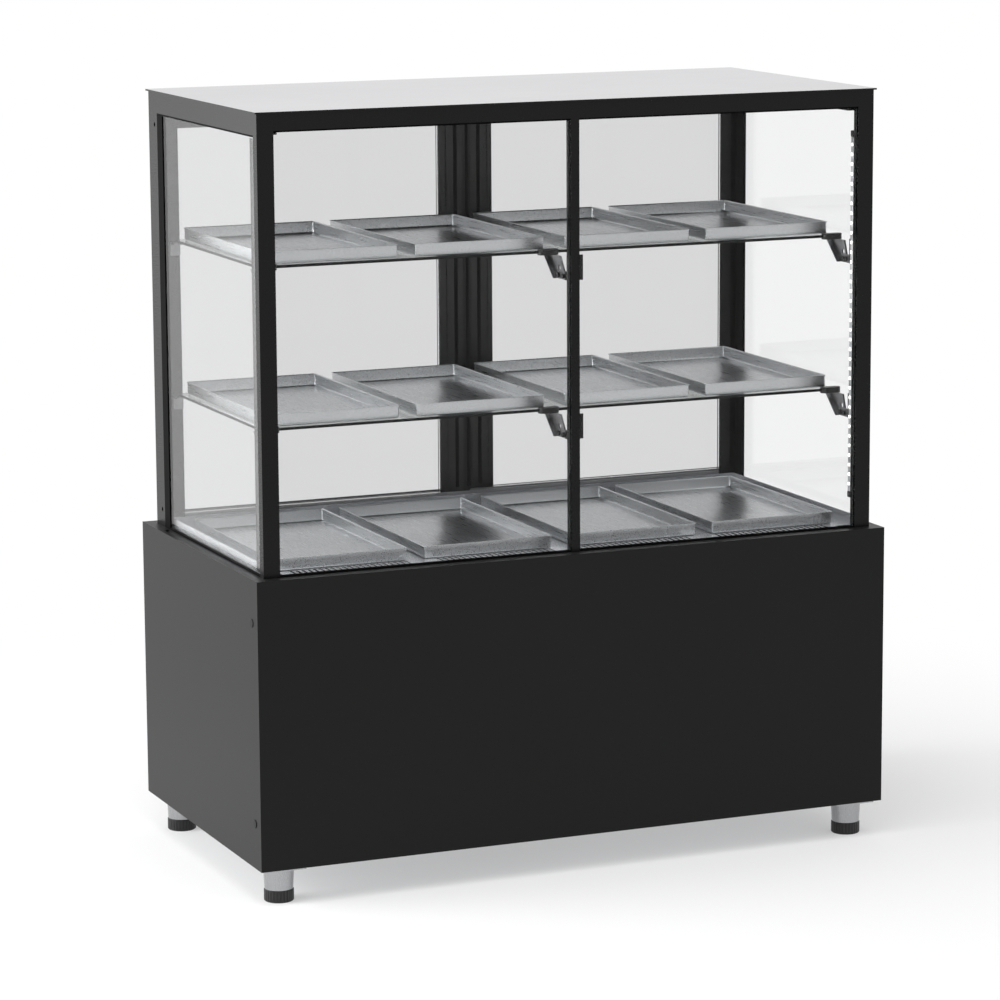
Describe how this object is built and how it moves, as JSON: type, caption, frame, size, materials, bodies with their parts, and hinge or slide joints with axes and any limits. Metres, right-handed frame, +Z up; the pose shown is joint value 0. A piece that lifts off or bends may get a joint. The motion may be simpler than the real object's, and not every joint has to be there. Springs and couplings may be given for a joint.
{
  "type": "pastry display case",
  "caption": "Refrigerated pastry display case: glazed case with glass shelves, trays and rear sliding doors on a dark steel cabinet with levelling feet.",
  "frame": {"origin": "on the floor under the middle of the cabinet", "axes": "+Z up, -Y towards the customer at the glazed front, +X to the customer's right"},
  "size_m": [1.2024, 0.62, 1.362],
  "materials": {
    "cabinet_paint": "fine satin powder coat",
    "frame_paint": "fine satin powder coat",
    "satin_steel": "satin",
    "polished_steel": "polished",
    "tray_steel": "satin",
    "bracket_steel": "brushed",
    "leg_chrome": "bright",
    "foot_plastic": "ribbed, matt",
    "clear_glass": "clear",
    "seal_rubber": "matt",
    "track_aluminium": "satin anodised",
    "door_frame_black": "satin",
    "black_plastic": "fine grain",
    "light_white": "diffusing",
    "insulated_liner": "smooth",
    "coil_aluminium": "mill finish",
    "galvanised_steel": "galvanised",
    "compressor_paint": "gloss",
    "pipe_copper": "copper, drawn",
    "screw_black": "satin"
  },
  "bodies": {
    "cabinet": {"base_floor_pan": "cabinet_paint", "base_front_panel": "cabinet_paint", "base_left_panel": "cabinet_paint", "base_right_panel": "cabinet_paint", "base_rear_panel": "cabinet_paint", "base_top_rim": "cabinet_paint", "cooling_well": "insulated_liner", "display_deck": "polished_steel", "leg_sleeves": "leg_chrome", "front_post_left": "frame_paint", "front_post_right": "frame_paint", "rear_post_left": "frame_paint", "rear_post_right": "frame_paint", "centre_mullion": "frame_paint", "front_top_rail": "frame_paint", "side_top_rails": "frame_paint", "rear_top_rail": "frame_paint", "top_panel": "satin_steel", "front_glass": "clear_glass", "side_glass": "clear_glass", "glass_seals": "seal_rubber", "door_tracks": "track_aluminium", "middle_shelf_glass": "clear_glass", "upper_shelf_glass": "clear_glass", "shelf_brackets": "bracket_steel", "shelf_clips": "black_plastic", "light_strips": "light_white", "evaporator_coil": "coil_aluminium", "condenser_coil": "coil_aluminium", "fan_shrouds": "galvanised_steel", "compressor": "compressor_paint", "compressor_mounts": "seal_rubber", "refrigerant_pipes": "pipe_copper", "controller": "black_plastic", "switch_housing": "black_plastic", "power_inlet": "black_plastic", "panel_screws": "screw_black"},
    "left_door": {"left_door_frame": "door_frame_black", "left_door_glass": "clear_glass"},
    "right_door": {"right_door_frame": "door_frame_black", "right_door_glass": "clear_glass"},
    "condenser_fan": {"condenser_fan": "black_plastic"},
    "evaporator_fan": {"evaporator_fan": "black_plastic"},
    "light_rocker": {"light_switch": "black_plastic"},
    "levelling_foot_front_left": {"levelling_foot_front_left": "foot_plastic"},
    "levelling_foot_front_right": {"levelling_foot_front_right": "foot_plastic"},
    "levelling_foot_rear_left": {"levelling_foot_rear_left": "foot_plastic"},
    "levelling_foot_rear_right": {"levelling_foot_rear_right": "foot_plastic"},
    "deck_tray_1": {"deck_tray_1": "tray_steel"},
    "deck_tray_2": {"deck_tray_2": "tray_steel"},
    "deck_tray_3": {"deck_tray_3": "tray_steel"},
    "deck_tray_4": {"deck_tray_4": "tray_steel"},
    "middle_tray_1": {"middle_tray_1": "tray_steel"},
    "middle_tray_2": {"middle_tray_2": "tray_steel"},
    "middle_tray_3": {"middle_tray_3": "tray_steel"},
    "middle_tray_4": {"middle_tray_4": "tray_steel"},
    "upper_tray_1": {"upper_tray_1": "tray_steel"},
    "upper_tray_2": {"upper_tray_2": "tray_steel"},
    "upper_tray_3": {"upper_tray_3": "tray_steel"},
    "upper_tray_4": {"upper_tray_4": "tray_steel"}
  },
  "joints": [
    {"name": "left_door_slide", "type": "slide", "parent": "cabinet", "child": "left_door", "axis": [1, 0, 0], "range_m": [0, 0.553]},
    {"name": "right_door_slide", "type": "slide", "parent": "cabinet", "child": "right_door", "axis": [-1, 0, 0], "range_m": [0, 0.593]},
    {"name": "condenser_fan_spin", "type": "hinge", "parent": "cabinet", "child": "condenser_fan", "pos_m": [-0.28, 0.189, 0.1915], "axis": [0, 1, 0], "continuous": true},
    {"name": "evaporator_fan_spin", "type": "hinge", "parent": "cabinet", "child": "evaporator_fan", "pos_m": [0, 0.1, 0.477], "axis": [0, 1, 0], "continuous": true},
    {"name": "light_rocker_tilt", "type": "hinge", "parent": "cabinet", "child": "light_rocker", "pos_m": [0.405, 0.3025, 0.512], "axis": [1, 0, 0], "range_deg": [-16, 0]},
    {"name": "levelling_foot_front_left_screw", "type": "slide", "parent": "cabinet", "child": "levelling_foot_front_left", "axis": [0, 0, -1], "range_m": [0, 0.02]},
    {"name": "levelling_foot_front_right_screw", "type": "slide", "parent": "cabinet", "child": "levelling_foot_front_right", "axis": [0, 0, -1], "range_m": [0, 0.02]},
    {"name": "levelling_foot_rear_left_screw", "type": "slide", "parent": "cabinet", "child": "levelling_foot_rear_left", "axis": [0, 0, -1], "range_m": [0, 0.02]},
    {"name": "levelling_foot_rear_right_screw", "type": "slide", "parent": "cabinet", "child": "levelling_foot_rear_right", "axis": [0, 0, -1], "range_m": [0, 0.02]},
    {"name": "deck_tray_1_lift", "type": "slide", "parent": "cabinet", "child": "deck_tray_1", "axis": [0, 0, 1], "range_m": [0, 0.06]},
    {"name": "deck_tray_2_lift", "type": "slide", "parent": "cabinet", "child": "deck_tray_2", "axis": [0, 0, 1], "range_m": [0, 0.06]},
    {"name": "deck_tray_3_lift", "type": "slide", "parent": "cabinet", "child": "deck_tray_3", "axis": [0, 0, 1], "range_m": [0, 0.06]},
    {"name": "deck_tray_4_lift", "type": "slide", "parent": "cabinet", "child": "deck_tray_4", "axis": [0, 0, 1], "range_m": [0, 0.06]},
    {"name": "middle_tray_1_lift", "type": "slide", "parent": "cabinet", "child": "middle_tray_1", "axis": [0, 0, 1], "range_m": [0, 0.06]},
    {"name": "middle_tray_2_lift", "type": "slide", "parent": "cabinet", "child": "middle_tray_2", "axis": [0, 0, 1], "range_m": [0, 0.06]},
    {"name": "middle_tray_3_lift", "type": "slide", "parent": "cabinet", "child": "middle_tray_3", "axis": [0, 0, 1], "range_m": [0, 0.06]},
    {"name": "middle_tray_4_lift", "type": "slide", "parent": "cabinet", "child": "middle_tray_4", "axis": [0, 0, 1], "range_m": [0, 0.06]},
    {"name": "upper_tray_1_lift", "type": "slide", "parent": "cabinet", "child": "upper_tray_1", "axis": [0, 0, 1], "range_m": [0, 0.06]},
    {"name": "upper_tray_2_lift", "type": "slide", "parent": "cabinet", "child": "upper_tray_2", "axis": [0, 0, 1], "range_m": [0, 0.06]},
    {"name": "upper_tray_3_lift", "type": "slide", "parent": "cabinet", "child": "upper_tray_3", "axis": [0, 0, 1], "range_m": [0, 0.06]},
    {"name": "upper_tray_4_lift", "type": "slide", "parent": "cabinet", "child": "upper_tray_4", "axis": [0, 0, 1], "range_m": [0, 0.06]}
  ]
}
